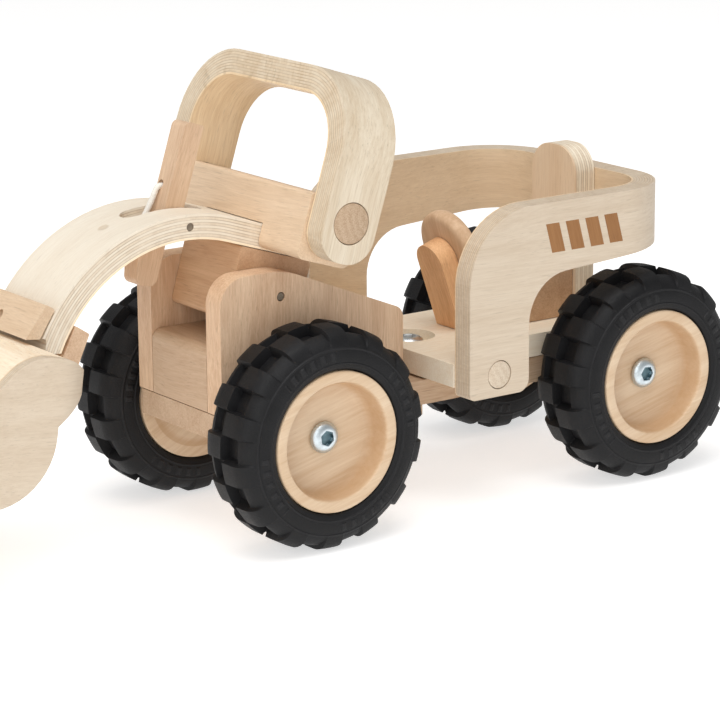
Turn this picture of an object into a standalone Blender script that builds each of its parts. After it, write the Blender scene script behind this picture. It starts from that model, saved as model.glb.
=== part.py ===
"""Wooden toy wheel loader with an articulated frame, a raising bucket arm and rubber tyres.

All dimensions below are in millimetres; MM turns them into metres when a mesh is made.
The toy's frame: +X forwards to the bucket, +Y to the driver's left, +Z up, the floor at z = 0.
While it is modelled, x = 0 is the front axle. The arm is modelled lowered and the bucket level,
and both are then turned to the pose they rest in.
"""

import math

import bmesh
import bpy
from mathutils import Matrix, Vector

MM = 0.001
GAP = 0.3                      # air between two pieces that touch
ARC_STEP = 8.0                 # degrees between the points of a rounded corner
FRONT_AXLE_X = 8.03            # puts the origin under the middle of the toy

# Stance
WHEELBASE = 156.0
AXLE_Z = 42.5
LEFT, RIGHT = 1, -1
SIDES = {"left": LEFT, "right": RIGHT}

# Wheels, measured outwards along the axle from the middle of the toy
TYRE_RADIUS = 42.5
TYRE_FACETS = 32
TYRE_OUTER_Y = 62.0
TYRE_INNER_Y = 32.0
HUB_OUTER_Y = 61.4
HUB_INNER_Y = 32.6
HUB_RADIUS = 27.0
HUB_GROOVE = 1.6
CUP_RADIUS = 22.0
WEB_Y = 51.2
ROD_RADIUS = 3.5
ROD_END_Y = 51.5
BOLT_HEAD_RADIUS = 6.0
BOLT_HEAD_HEIGHT = 2.8
BOLT_SHANK_RADIUS = 2.0
BOLT_SHANK_LENGTH = 14.0
SOCKET_RADIUS = 2.9
SOCKET_DEPTH = 1.8
SPACER_RADIUS = 8.0

# Front chassis
FRONT_X = 29.8
BODY_HALF = 29.0
PLATE_BOTTOM = 39.6
PLATE_TOP = 49.4
KEEPER_BOTTOM = 35.5
CHEEK_THICKNESS = 9.8
CHEEK_TOP = 102.0
CHEEK_REAR_X = -53.8
CHEEK_REAR_TOP = 79.5
BLOCK_TOP = 74.5
ARM_PIVOT = (2.65, 92.1)
PIN_RADIUS = 1.5

# Rear chassis
SWIVEL_X = -78.0
SWIVEL_SHANK_RADIUS = 3.1
SWIVEL_BORE = 3.4
COUNTERBORE_RADIUS = 10.5
COUNTERBORE_FLOOR = 55.0
WASHER_RADIUS = 8.0
WASHER_THICKNESS = 0.9
NUT_RADIUS = 5.8
NUT_HEIGHT = 4.8
DECK_FRONT_X = -63.6
DECK_BOTTOM = 50.3
DECK_TOP = 59.5
FENDER_HALF = 58.0
FENDER_THICKNESS = 9.5
FENDER_REAR_X = -171.5
FENDER_CORNER = 29.0
FENDER_FRONT_X = -64.0
POST_REAR_X = -92.6
POST_BOTTOM = 46.7
FENDER_TOP = 119.3
ARCH_Z = 90.5
PLUG_PLACE = (-78.3, 55.2)
PLUG_RADIUS = 5.4
PLUG_BOTTOM_Y = 53.6
SCREW_SEAT_Y = 50.6
SCREW_BORE = 1.8
FENDER_FRONT_ROUND = 30.0
ARCH_ROUND = 19.0
SEAT_HALF = 13.6
SEAT_FRONT_X = -151.4
SEAT_TOP = 128.2
CONSOLE_HALF = 8.0
CONSOLE_FOOT_X = -98.0
CONSOLE_THICKNESS = 7.8
CONSOLE_LENGTH = 36.8
CONSOLE_LEAN = 19.0
STEERING_RADIUS = 15.5
STEERING_THICKNESS = 7.5

# Loader arm, modelled lowered
ARM_RAISED = 18.0
ARM_HALF = 19.0
BOOM_REAR_X = -12.0
BOOM_CENTRE = (25.5, 48.2)
BOOM_OUTER_R = 68.6
BOOM_THICKNESS = 9.5
SLOT_REAR_X = 28.0
SLOT_FRONT_X = 61.0
SLOT_HALF = 4.9
LEVER_PIVOT = (43.0, 109.6)
LEVER_HALF = 4.5
CORD_RADIUS = 1.15
CORD_HOLE_Z = 122.1
CORD_BORE = 1.7
CORD_Y = -2.2                  # where the cord leaves the stick
BOOM_CORD_Y = -5.6             # where it leaves the boom
BAR_HALF = 55.5
BAR_THICKNESS = 10.0
BAR_TOP = 178.6
BAR_BOTTOM = 110.0
BAR_CORNER = 31.0
BAR_REAR_X = -13.0
BAR_FRONT_X = 11.0
DOWEL_PLACE = (-1.0, 125.2)
DOWEL_RADIUS = 7.7
CROSS_BOTTOM = 108.0
CROSS_TOP = 133.0

# Bucket, modelled level; its hinge pin is the zero of these dimensions
BUCKET_HINGE = (80.9, 47.0)
BUCKET_TIPPED = 10.0
BUCKET_HALF = 58.0
BUCKET_PLY = 4.8
BUCKET_BACK_X = 9.1
BUCKET_CORNER = 15.5
BUCKET_TOP = 15.2
BUCKET_FLOOR = -38.6
BUCKET_LIP_X = 87.0
LUG_HALF = 8.5

WOODS = {
    "pale_ply": (0.76, 0.66, 0.52),
    "light_wood": (0.68, 0.52, 0.35),
    "warm_wood": (0.55, 0.36, 0.20),
    "hub_wood": (0.70, 0.53, 0.35),
}


def finish_material(name, colour, roughness, metallic=0.0):
    material = bpy.data.materials.get(name) or bpy.data.materials.new(name)
    material.use_nodes = True
    shader = material.node_tree.nodes["Principled BSDF"]
    shader.inputs["Base Color"].default_value = (*colour, 1.0)
    shader.inputs["Roughness"].default_value = roughness
    shader.inputs["Metallic"].default_value = metallic
    return material


def wood(name, tone):
    return finish_material(name + "_finish", WOODS[tone], 0.55)


def rubber(name):
    return finish_material(name + "_finish", (0.035, 0.035, 0.037), 0.7)


def steel(name):
    return finish_material(name + "_finish", (0.72, 0.73, 0.75), 0.28, 1.0)


def cotton(name):
    return finish_material(name + "_finish", (0.86, 0.84, 0.80), 0.9)


def rounded(corners, closed=True):
    """Points of an outline whose (a, b, radius) corners are rounded by arcs; a radius may be left out."""
    count = len(corners)
    points = []
    for index, corner in enumerate(corners):
        here = Vector(corner[:2])
        radius = corner[2] if len(corner) > 2 else 0.0
        at_end = not closed and index in (0, count - 1)
        if radius == 0.0 or at_end:
            points.append(here)
            continue
        before = (Vector(corners[index - 1][:2]) - here).normalized()
        after = (Vector(corners[(index + 1) % count][:2]) - here).normalized()
        opening = before.angle(after)
        reach = radius / math.tan(opening / 2)
        centre = here + (before + after).normalized() * (radius / math.sin(opening / 2))
        start = here + before * reach - centre
        sweep = start.angle_signed(here + after * reach - centre)
        steps = max(2, math.ceil(abs(math.degrees(sweep)) / ARC_STEP))
        for step in range(steps + 1):
            points.append(centre + Matrix.Rotation(-sweep * step / steps, 2) @ start)
    return points


def ribbon(path, thickness):
    """Closed outline of a bent strip: the path, and the same path moved to its left by the thickness."""
    moved = []
    for index, point in enumerate(path):
        before = (point - path[index - 1]).normalized() if index else None
        after = (path[index + 1] - point).normalized() if index + 1 < len(path) else before
        before = before or after
        normal = Vector((-before.y - after.y, before.x + after.x)).normalized()
        stretch = normal.dot(Vector((-before.y, before.x)))
        moved.append(point + normal * (thickness / stretch))
    return path + moved[::-1]


def arc(centre, radius, start, end, steps):
    """Points along an arc, its angles in degrees."""
    angles = [math.radians(start + (end - start) * step / steps) for step in range(steps + 1)]
    return [Vector((centre[0] + radius * math.cos(a), centre[1] + radius * math.sin(a))) for a in angles]


def new_object(name, mesh, material):
    piece = bpy.data.objects.new(name, mesh)
    bpy.context.collection.objects.link(piece)
    if material:
        mesh.materials.append(material)
    return piece


def prism(name, outline, axis, low, high, material=None):
    """Extrudes an outline: (x, z) along Y, (x, y) along Z or (y, z) along X."""
    place = {
        "Y": lambda a, b, depth: (a, depth, b),
        "Z": lambda a, b, depth: (a, b, depth),
        "X": lambda a, b, depth: (depth, a, b),
    }[axis]
    shape = bmesh.new()
    face = shape.faces.new([shape.verts.new(Vector(place(p[0], p[1], low)) * MM) for p in outline])
    grown = bmesh.ops.extrude_face_region(shape, geom=[face])
    moved = [item for item in grown["geom"] if isinstance(item, bmesh.types.BMVert)]
    bmesh.ops.translate(shape, verts=moved, vec=Vector(place(0, 0, high - low)) * MM)
    bmesh.ops.recalc_face_normals(shape, faces=shape.faces)
    mesh = bpy.data.meshes.new(name)
    shape.to_mesh(mesh)
    shape.free()
    return new_object(name, mesh, material)


def turned_mesh(name, profile, facets):
    """Turns a closed (radius, height) profile about Z. A radius of 0 becomes one point on the axis."""
    shape = bmesh.new()
    rings = []
    for radius, height in profile:
        if radius == 0:
            rings.append([shape.verts.new(Vector((0, 0, height)) * MM)] * facets)
            continue
        angles = [2 * math.pi * (step + 0.5) / facets for step in range(facets)]
        rings.append([
            shape.verts.new(Vector((radius * math.cos(a), radius * math.sin(a), height)) * MM)
            for a in angles
        ])
    for ring, following in zip(rings, rings[1:] + rings[:1]):
        for step in range(facets):
            after = (step + 1) % facets
            corners = [ring[step], ring[after], following[after], following[step]]
            unique = list(dict.fromkeys(corners))
            if len(unique) > 2:
                shape.faces.new(unique)
    bmesh.ops.recalc_face_normals(shape, faces=shape.faces)
    mesh = bpy.data.meshes.new(name)
    shape.to_mesh(mesh)
    shape.free()
    mesh.shade_smooth()
    mesh.set_sharp_from_angle(angle=math.radians(35))
    return mesh


def turned(name, profile, facets, material, place=(0, 0, 0), tilt=(0, 0, 0)):
    """A turned piece whose own Z axis is tilted by the given angles in degrees."""
    piece = new_object(name, turned_mesh(name, profile, facets), material)
    piece.location = Vector(place) * MM
    piece.rotation_euler = [math.radians(angle) for angle in tilt]
    return piece


def cylinder(radius, low, high):
    return [(0, low), (radius, low), (radius, high), (0, high)]


def across(side=LEFT):
    """The tilt that lays a turned piece's Z axis outwards along Y on one side of the toy."""
    return (-90 * side, 0, 0)


def cut(piece, *cutters, operation="DIFFERENCE"):
    """Cuts the piece with hidden tools, which are left where they are."""
    for tool in cutters:
        tool.hide_render = True
        tool.display_type = "WIRE"
        change = piece.modifiers.new(operation.lower(), "BOOLEAN")
        change.operation = operation
        change.object = tool
        change.solver = "EXACT"
    return piece


def drill(place, radius, half_length=80.0, facets=24):
    """A cutter for a hole along Y through (x, z)."""
    profile = cylinder(radius, -half_length, half_length)
    return turned("drill", profile, facets, None, (place[0], 0, place[1]), across())


def pocket(place, radius, low, high, side, facets=32):
    """A cutter for a blind hole along Y, from low to high outwards on one side."""
    return turned("pocket", cylinder(radius, low, high), facets, None, (place[0], 0, place[1]), across(side))


def joint(name, place, parent=None):
    """An empty on a joint's axis; what is attached to it keeps its place until the empty turns."""
    empty = bpy.data.objects.new(name, None)
    bpy.context.collection.objects.link(empty)
    empty.location = Vector(place) * MM
    if parent:
        attach(parent, empty)
    return empty


def attach(parent, *children):
    for child in children:
        child.parent = parent
        child.matrix_parent_inverse = Matrix.Translation(-parent.location)


def tyre_profile():
    """The rubber's section as (radius, distance along the axle), seated in the hub's groove."""
    middle = (TYRE_OUTER_Y + TYRE_INNER_Y) / 2
    half = (TYRE_OUTER_Y - TYRE_INNER_Y) / 2
    crown = 1 / math.cos(math.pi / TYRE_FACETS)
    outer = [(37.5, half), (41.0, half - 2.2), (TYRE_RADIUS, half - 6.0)]
    seat = HUB_RADIUS + GAP
    ridge = seat - HUB_GROOVE
    inner = [(seat, half - 0.8), (seat, 8.3), (ridge, 6.8)]
    half_section = [(ridge, 6.8), (seat, 8.3), (seat, half - 0.8)] + [(r * crown, y) for r, y in outer]
    mirrored = [(r * crown, -y) for r, y in outer[::-1]] + [(r, -y) for r, y in inner]
    return [(r, y + middle) for r, y in half_section + mirrored]


def hub_profile():
    """A turned wooden hub: a cup on the outside, a flat back, and a groove for the tyre."""
    middle = (TYRE_OUTER_Y + TYRE_INNER_Y) / 2
    bore = ROD_RADIUS + GAP
    groove = HUB_RADIUS - HUB_GROOVE
    return [
        (bore, HUB_INNER_Y), (bore, WEB_Y), (CUP_RADIUS - 1.8, WEB_Y), (CUP_RADIUS, WEB_Y + 2.0),
        (CUP_RADIUS + 0.5, HUB_OUTER_Y), (HUB_RADIUS, HUB_OUTER_Y), (HUB_RADIUS, middle + 8.3),
        (groove, middle + 6.8), (groove, middle - 6.8), (HUB_RADIUS, middle - 8.3), (HUB_RADIUS, HUB_INNER_Y),
    ]


def rod_profile():
    """A steel axle with a blind bore in each end."""
    bore = BOLT_SHANK_RADIUS + GAP
    floor = ROD_END_Y - BOLT_SHANK_LENGTH - 1.5
    return [
        (0, -floor), (bore, -floor), (bore, -ROD_END_Y), (ROD_RADIUS, -ROD_END_Y),
        (ROD_RADIUS, ROD_END_Y), (bore, ROD_END_Y), (bore, floor), (0, floor),
    ]


def bolt_profile(shank_radius, shank_length):
    """A button-head bolt, its head standing on z = 0 and its shank below."""
    head = BOLT_HEAD_HEIGHT
    return [
        (0, -shank_length), (shank_radius, -shank_length), (shank_radius, 0), (BOLT_HEAD_RADIUS, 0),
        (BOLT_HEAD_RADIUS, head * 0.45), (BOLT_HEAD_RADIUS - 0.5, head * 0.8), (BOLT_HEAD_RADIUS - 1.3, head),
        (0, head),
    ]


def bolt(name, place, tilt, shank_radius, shank_length):
    """A steel bolt with a hexagonal socket in its head."""
    piece = turned(name, bolt_profile(shank_radius, shank_length), 18, steel(name), place, tilt)
    socket_floor = BOLT_HEAD_HEIGHT - SOCKET_DEPTH
    socket = cylinder(SOCKET_RADIUS, socket_floor, BOLT_HEAD_HEIGHT + 2)
    return cut(piece, turned("socket", socket, 6, None, place, tilt))


def make_wheels(chassis_of):
    """Four tyres, hubs and spacers on two rods, each end closed by a bolt."""
    tyre_mesh = turned_mesh("tyre", tyre_profile(), TYRE_FACETS)
    hub_mesh = turned_mesh("hub", hub_profile(), 28)
    spacer = [
        (ROD_RADIUS + GAP, BODY_HALF + GAP), (SPACER_RADIUS, BODY_HALF + GAP),
        (SPACER_RADIUS, HUB_INNER_Y - GAP), (ROD_RADIUS + GAP, HUB_INNER_Y - GAP),
    ]
    for end, axle_x in (("front", 0.0), ("rear", -WHEELBASE)):
        place = (axle_x, 0, AXLE_Z)
        rod_name = f"{end}_axle_rod"
        rod = turned(rod_name, rod_profile(), 18, steel(rod_name), place, across())
        attach(chassis_of[end], rod)
        for word, side in SIDES.items():
            name = f"{end}_{word}"
            axis = joint(name + "_wheel_joint", place, chassis_of[end])
            for part, mesh, material in (
                ("tyre", tyre_mesh, rubber(name + "_tyre")),
                ("hub", hub_mesh, wood(name + "_hub", "hub_wood")),
            ):
                piece = new_object(f"{name}_{part}", mesh.copy(), material)
                piece.location = Vector(place) * MM
                piece.rotation_euler.x = math.radians(across(side)[0])
                attach(axis, piece)
            ring = turned(f"{name}_spacer", spacer, 18, steel(f"{name}_spacer"), place, across(side))
            head_place = (axle_x, side * (ROD_END_Y + GAP), AXLE_Z)
            screw = bolt(f"{name}_bolt", head_place, across(side), BOLT_SHANK_RADIUS, BOLT_SHANK_LENGTH)
            attach(chassis_of[end], ring, screw)


def axle_bore(axle_x):
    return drill((axle_x, AXLE_Z), ROD_RADIUS + GAP)


def swivel_hole():
    return turned("swivel_hole", cylinder(SWIVEL_BORE, 20, 80), 24, None, (SWIVEL_X, 0, 0))


def make_front_chassis(chassis):
    """Base plate and tongue, two cheeks with a block between them, and the axle's keeper."""
    tongue_end = SWIVEL_X - BODY_HALF
    plate = prism(
        "front_base_plate",
        rounded([
            (FRONT_X, -BODY_HALF, 2.5), (FRONT_X, BODY_HALF, 2.5),
            (tongue_end, BODY_HALF, BODY_HALF - 0.1), (tongue_end, -BODY_HALF, BODY_HALF - 0.1),
        ]),
        "Z", PLATE_BOTTOM, PLATE_TOP, wood("front_base_plate", "light_wood"),
    )
    cut(plate, axle_bore(0.0), swivel_hole())
    keeper = prism(
        "front_axle_keeper",
        rounded([(13.8, -BODY_HALF, 2), (13.8, BODY_HALF, 2), (-64, BODY_HALF, 2), (-64, -BODY_HALF, 2)]),
        "Z", KEEPER_BOTTOM, PLATE_BOTTOM - GAP, wood("front_axle_keeper", "light_wood"),
    )
    cut(keeper, axle_bore(0.0))
    foot = PLATE_TOP + GAP
    outline = rounded([
        (FRONT_X, foot), (FRONT_X, CHEEK_TOP, 11), (1.0, CHEEK_TOP, 30),
        (CHEEK_REAR_X, CHEEK_REAR_TOP, 5), (CHEEK_REAR_X, foot),
    ])
    pin_hole = drill(ARM_PIVOT, PIN_RADIUS + GAP)
    for word, side in SIDES.items():
        inner = side * (BODY_HALF - CHEEK_THICKNESS)
        name = f"{word}_cheek"
        cheek = prism(name, outline, "Y", *sorted((inner, side * BODY_HALF)), wood(name, "light_wood"))
        attach(chassis, cut(cheek, pin_hole))
    inside = BODY_HALF - CHEEK_THICKNESS - GAP
    block = prism(
        "centre_block",
        rounded([(FRONT_X, foot), (FRONT_X, BLOCK_TOP, 4), (-9.5, BLOCK_TOP), (-9.5, foot)]),
        "Y", -inside, inside, wood("centre_block", "light_wood"),
    )
    pin = turned(
        "arm_pivot_pin", cylinder(PIN_RADIUS, GAP - BODY_HALF, BODY_HALF - GAP), 20, steel("arm_pivot_pin"),
        (ARM_PIVOT[0], 0, ARM_PIVOT[1]), across(),
    )
    attach(chassis, plate, keeper, block, pin)


def make_rear_chassis(chassis):
    """Deck, axle block and keeper, the bent fender, and the bolt that the two halves swivel on."""
    inside = FENDER_HALF - FENDER_THICKNESS
    wall = inside - GAP
    step_x = POST_REAR_X - GAP
    back_x = FENDER_REAR_X + FENDER_THICKNESS + GAP
    deck = prism(
        "rear_deck",
        [
            (DECK_FRONT_X, -wall), (DECK_FRONT_X, wall), (step_x, wall), (step_x, BODY_HALF),
            (back_x, BODY_HALF), (back_x, -BODY_HALF), (step_x, -BODY_HALF), (step_x, -wall),
        ],
        "Z", DECK_BOTTOM, DECK_TOP, wood("rear_deck", "light_wood"),
    )
    head_room = cylinder(COUNTERBORE_RADIUS, COUNTERBORE_FLOOR, DECK_TOP + 10)
    counterbore = turned("counterbore", head_room, 32, None, (SWIVEL_X, 0, 0))
    cut(deck, counterbore, swivel_hole())
    for side in SIDES.values():
        cut(deck, pocket(PLUG_PLACE, SCREW_BORE, 32.0, 60.0, side, 16))
    block = prism(
        "rear_axle_block",
        [
            (-108.5, PLATE_BOTTOM), (-108.5, DECK_BOTTOM - GAP),
            (-168, DECK_BOTTOM - GAP), (-168, PLATE_BOTTOM),
        ],
        "Y", -BODY_HALF, BODY_HALF, wood("rear_axle_block", "warm_wood"),
    )
    cut(block, axle_bore(-WHEELBASE))
    keeper = prism(
        "rear_axle_keeper",
        [(-140, -BODY_HALF), (-140, BODY_HALF), (-168, BODY_HALF), (-168, -BODY_HALF)],
        "Z", KEEPER_BOTTOM, PLATE_BOTTOM - GAP, wood("rear_axle_keeper", "light_wood"),
    )
    cut(keeper, axle_bore(-WHEELBASE))
    attach(chassis, deck, block, keeper, make_fender())
    make_fender_fixings(chassis)
    washer_low = COUNTERBORE_FLOOR + GAP
    washer_high = washer_low + WASHER_THICKNESS
    washer_ring = [
        (SWIVEL_BORE, washer_low), (WASHER_RADIUS, washer_low),
        (WASHER_RADIUS, washer_high), (SWIVEL_BORE, washer_high),
    ]
    washer = turned("swivel_washer", washer_ring, 18, steel("swivel_washer"), (SWIVEL_X, 0, 0))
    head_place = (SWIVEL_X, 0, washer_high + GAP)
    swivel = bolt("swivel_bolt", head_place, (0, 0, 0), SWIVEL_SHANK_RADIUS, 22.5)
    nut_bore = SWIVEL_SHANK_RADIUS + 0.8
    nut_high = PLATE_BOTTOM - GAP
    nut_low = nut_high - NUT_HEIGHT
    nut_ring = [(nut_bore, nut_low), (NUT_RADIUS, nut_low), (NUT_RADIUS, nut_high), (nut_bore, nut_high)]
    nut = turned("swivel_nut", nut_ring, 6, steel("swivel_nut"), (SWIVEL_X, 0, 0))
    attach(chassis, washer, swivel, nut)


def make_fender():
    """A strip of plywood bent to a U in plan, then cut to its side outline with the wheel arches."""
    path = rounded([
        (-50, -FENDER_HALF), (FENDER_REAR_X, -FENDER_HALF, FENDER_CORNER),
        (FENDER_REAR_X, FENDER_HALF, FENDER_CORNER), (-50, FENDER_HALF),
    ], closed=False)
    fender = prism("fender", ribbon(path, -FENDER_THICKNESS), "Z", 30, 140, wood("fender", "pale_ply"))
    side_outline = rounded([
        (FENDER_FRONT_X, POST_BOTTOM, 2.5), (FENDER_FRONT_X, FENDER_TOP, FENDER_FRONT_ROUND), (-190, FENDER_TOP),
        (-190, 96.5), (POST_REAR_X, ARCH_Z, ARCH_ROUND), (POST_REAR_X, POST_BOTTOM, 5),
    ])
    shape = prism("fender_outline", side_outline, "Y", -80, 80)
    cut(fender, shape, operation="INTERSECT")
    for side in SIDES.values():
        plug_hole = pocket(PLUG_PLACE, PLUG_RADIUS + GAP, SCREW_SEAT_Y, 70, side)
        cut(fender, plug_hole, pocket(PLUG_PLACE, SCREW_BORE, 40, 60, side, 16))
    return fender


def make_fender_fixings(chassis):
    """A screw through each post into the deck, hidden by a wooden plug."""
    for word, side in SIDES.items():
        place = (PLUG_PLACE[0], 0, PLUG_PLACE[1])
        shank = SCREW_BORE - GAP
        seat = SCREW_SEAT_Y + GAP
        head = PLUG_BOTTOM_Y - GAP
        screw_profile = [(0, 33), (shank, 33), (shank, seat), (4, seat), (4, head), (0, head)]
        name = f"{word}_fender_screw"
        screw = turned(name, screw_profile, 16, steel(name), place, across(side))
        plug_name = f"{word}_fender_plug"
        plug_profile = cylinder(PLUG_RADIUS, PLUG_BOTTOM_Y, FENDER_HALF)
        plug = turned(plug_name, plug_profile, 32, wood(plug_name, "pale_ply"), place, across(side))
        attach(chassis, screw, plug)


def make_cab(chassis):
    """Seat, console and steering wheel on the deck."""
    floor = DECK_TOP + GAP
    seat_back = prism(
        "seat_back",
        rounded([(-SEAT_HALF, floor), (SEAT_HALF, floor), (SEAT_HALF, SEAT_TOP, 11), (-SEAT_HALF, SEAT_TOP, 11)]),
        "X", FENDER_REAR_X + FENDER_THICKNESS + GAP, SEAT_FRONT_X, wood("seat_back", "light_wood"),
    )
    seat_base = prism(
        "seat_base",
        rounded([
            (SEAT_FRONT_X + GAP, floor), (-124, floor, 1), (-124, 82, 4), (SEAT_FRONT_X + GAP, 82),
        ]),
        "Y", 0.5 - SEAT_HALF, SEAT_HALF - 0.5, wood("seat_base", "warm_wood"),
    )
    attach(chassis, seat_back, seat_base)
    make_console(chassis, floor)


def make_console(chassis, floor):
    """A round-topped upright that leans forwards, with the steering wheel turning on a peg behind it."""
    below = 12.0
    console = prism(
        "steering_console",
        rounded([
            (-CONSOLE_HALF, -below), (CONSOLE_HALF, -below),
            (CONSOLE_HALF, CONSOLE_LENGTH, CONSOLE_HALF - 0.1), (-CONSOLE_HALF, CONSOLE_LENGTH, CONSOLE_HALF - 0.1),
        ]),
        "X", -CONSOLE_THICKNESS, 0, wood("steering_console", "warm_wood"),
    )
    console.location = Vector((CONSOLE_FOOT_X, 0, floor)) * MM
    console.rotation_euler.y = math.radians(CONSOLE_LEAN)
    ground = prism("console_foot", [(-150, 30), (-50, 30), (-50, floor), (-150, floor)], "Y", -20, 20)
    lean = Matrix.Rotation(math.radians(CONSOLE_LEAN), 4, "Y")
    peg_height = CONSOLE_LENGTH - CONSOLE_HALF + 2.2
    peg_place = Vector((CONSOLE_FOOT_X, 0, floor)) + lean @ Vector((-CONSOLE_THICKNESS, 0, peg_height))
    backwards = (0, CONSOLE_LEAN - 90, 0)
    peg_hole = turned("peg_hole", cylinder(2.3, -7, 10), 16, None, peg_place, backwards)
    cut(console, ground, peg_hole)
    wheel_joint = joint("steering_joint", peg_place, chassis)
    edge = STEERING_RADIUS - 2.4
    wheel_profile = [
        (2.4, GAP), (edge, GAP), (STEERING_RADIUS, 2.6), (STEERING_RADIUS, STEERING_THICKNESS - 2.3),
        (edge, STEERING_THICKNESS), (4.8, STEERING_THICKNESS), (4.8, 5.2), (2.4, 5.2),
    ]
    wheel_name = "steering_wheel"
    wheel = turned(wheel_name, wheel_profile, 24, wood(wheel_name, "warm_wood"), peg_place, backwards)
    peg_profile = [(0, -6.5), (2.0, -6.5), (2.0, 5.5), (4.4, 5.5), (4.4, 7.2), (3.6, 8.0), (0, 8.0)]
    peg = turned("steering_peg", peg_profile, 20, wood("steering_peg", "light_wood"), peg_place, backwards)
    attach(wheel_joint, wheel)
    attach(chassis, console, peg)


def boom_outline():
    """Side outline of the bent boom: level at the rear, curving down to a tip that clears the bucket."""
    inner = BOOM_OUTER_R - BOOM_THICKNESS
    tip = [Vector((91.8, 59.0)), Vector((90.6, 53.8))]
    outer_arc = arc(BOOM_CENTRE, BOOM_OUTER_R, 90, 9.0, 20)
    inner_arc = arc(BOOM_CENTRE, inner, 6.6, 90, 20)
    rear = [
        Vector((BOOM_REAR_X, BOOM_CENTRE[1] + inner)),
        Vector((BOOM_REAR_X, BOOM_CENTRE[1] + BOOM_OUTER_R)),
    ]
    return outer_arc + tip + inner_arc + rear


def make_arm(arm):
    """Boom, the block that pivots between the cheeks, the cross block and the bent roll bar."""
    boom = prism("boom", boom_outline(), "Y", -ARM_HALF, ARM_HALF, wood("boom", "pale_ply"))
    slot = prism(
        "lever_slot",
        rounded([
            (SLOT_REAR_X, -SLOT_HALF, SLOT_HALF - 0.1), (SLOT_FRONT_X, -SLOT_HALF, SLOT_HALF - 0.1),
            (SLOT_FRONT_X, SLOT_HALF, SLOT_HALF - 0.1), (SLOT_REAR_X, SLOT_HALF, SLOT_HALF - 0.1),
        ]),
        "Z", 80, 140,
    )
    cord_hole = cord_bore()
    cut(boom, slot, drill(LEVER_PIVOT, PIN_RADIUS + 0.1, facets=16), cord_hole)
    bottom = BOOM_CENTRE[1] + BOOM_OUTER_R - BOOM_THICKNESS - GAP
    carrier_half = BODY_HALF - CHEEK_THICKNESS - GAP
    carrier = prism(
        "carrier_block",
        rounded([(17.6, 79, 2), (18.5, bottom, 1), (-14.3, bottom, 2), (-14.3, 75.3, 16.6)]),
        "Y", -carrier_half, carrier_half, wood("carrier_block", "warm_wood"),
    )
    cut(carrier, drill(ARM_PIVOT, PIN_RADIUS + GAP))
    attach(arm, boom, carrier, make_cross_block(), make_roll_bar())
    for word, side in SIDES.items():
        name = f"{word}_bar_dowel"
        place = (DOWEL_PLACE[0], 0, DOWEL_PLACE[1])
        profile = cylinder(DOWEL_RADIUS, 36.3, BAR_HALF)
        dowel = turned(name, profile, 32, wood(name, "light_wood"), place, across(side))
        attach(arm, dowel)
    make_boom_blocks(arm, cord_hole)
    pin_half = ARM_HALF - GAP
    for name, place in (("lever_pin", LEVER_PIVOT), ("bucket_pin", BUCKET_HINGE)):
        profile = cylinder(1.6, -pin_half, pin_half)
        attach(arm, turned(name, profile, 16, steel(name), (place[0], 0, place[1]), across()))


def cord_bore():
    """A cutter for the sloping hole that takes the cord through the boom and its front block."""
    return turned("cord_bore", cylinder(1.9, -20, 14), 16, None, (88.0, BOOM_CORD_Y, 66.2), (0, 111, 0))


def make_cross_block():
    """The block between the roll bar's legs, notched for the boom's end and bored for two dowels."""
    half = BAR_HALF - BAR_THICKNESS - GAP
    block = prism(
        "cross_block",
        rounded([(12, CROSS_BOTTOM, 3), (12, CROSS_TOP, 1.5), (-12, CROSS_TOP, 1.5), (-12, CROSS_BOTTOM, 3)]),
        "Y", -half, half, wood("cross_block", "light_wood"),
    )
    notch_half = ARM_HALF + GAP
    notch_top = BOOM_CENTRE[1] + BOOM_OUTER_R + GAP
    notch = prism(
        "boom_notch", [(-notch_half, 90), (notch_half, 90), (notch_half, notch_top), (-notch_half, notch_top)],
        "X", -30, 30,
    )
    cut(block, notch)
    for side in SIDES.values():
        cut(block, pocket(DOWEL_PLACE, DOWEL_RADIUS + GAP, 36, 70, side))
    return block


def make_roll_bar():
    """A plywood strip bent to an arch, its legs rounded off below."""
    path = rounded([
        (-BAR_HALF, 90), (-BAR_HALF, BAR_TOP, BAR_CORNER), (BAR_HALF, BAR_TOP, BAR_CORNER), (BAR_HALF, 90),
    ], closed=False)
    section = ribbon(path, -BAR_THICKNESS)
    bar = prism("roll_bar", section, "X", BAR_REAR_X, BAR_FRONT_X, wood("roll_bar", "pale_ply"))
    shape = prism(
        "roll_bar_outline",
        rounded([
            (BAR_REAR_X - 5, 200), (BAR_REAR_X - 5, 150), (BAR_REAR_X, 150), (BAR_REAR_X, BAR_BOTTOM, 11),
            (BAR_FRONT_X, BAR_BOTTOM, 11), (BAR_FRONT_X, 150), (BAR_FRONT_X + 5, 150), (BAR_FRONT_X + 5, 200),
        ]),
        "Y", -70, 70,
    )
    cut(bar, shape, operation="INTERSECT")
    cut(bar, drill(DOWEL_PLACE, DOWEL_RADIUS + GAP, facets=32))
    return bar


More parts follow.
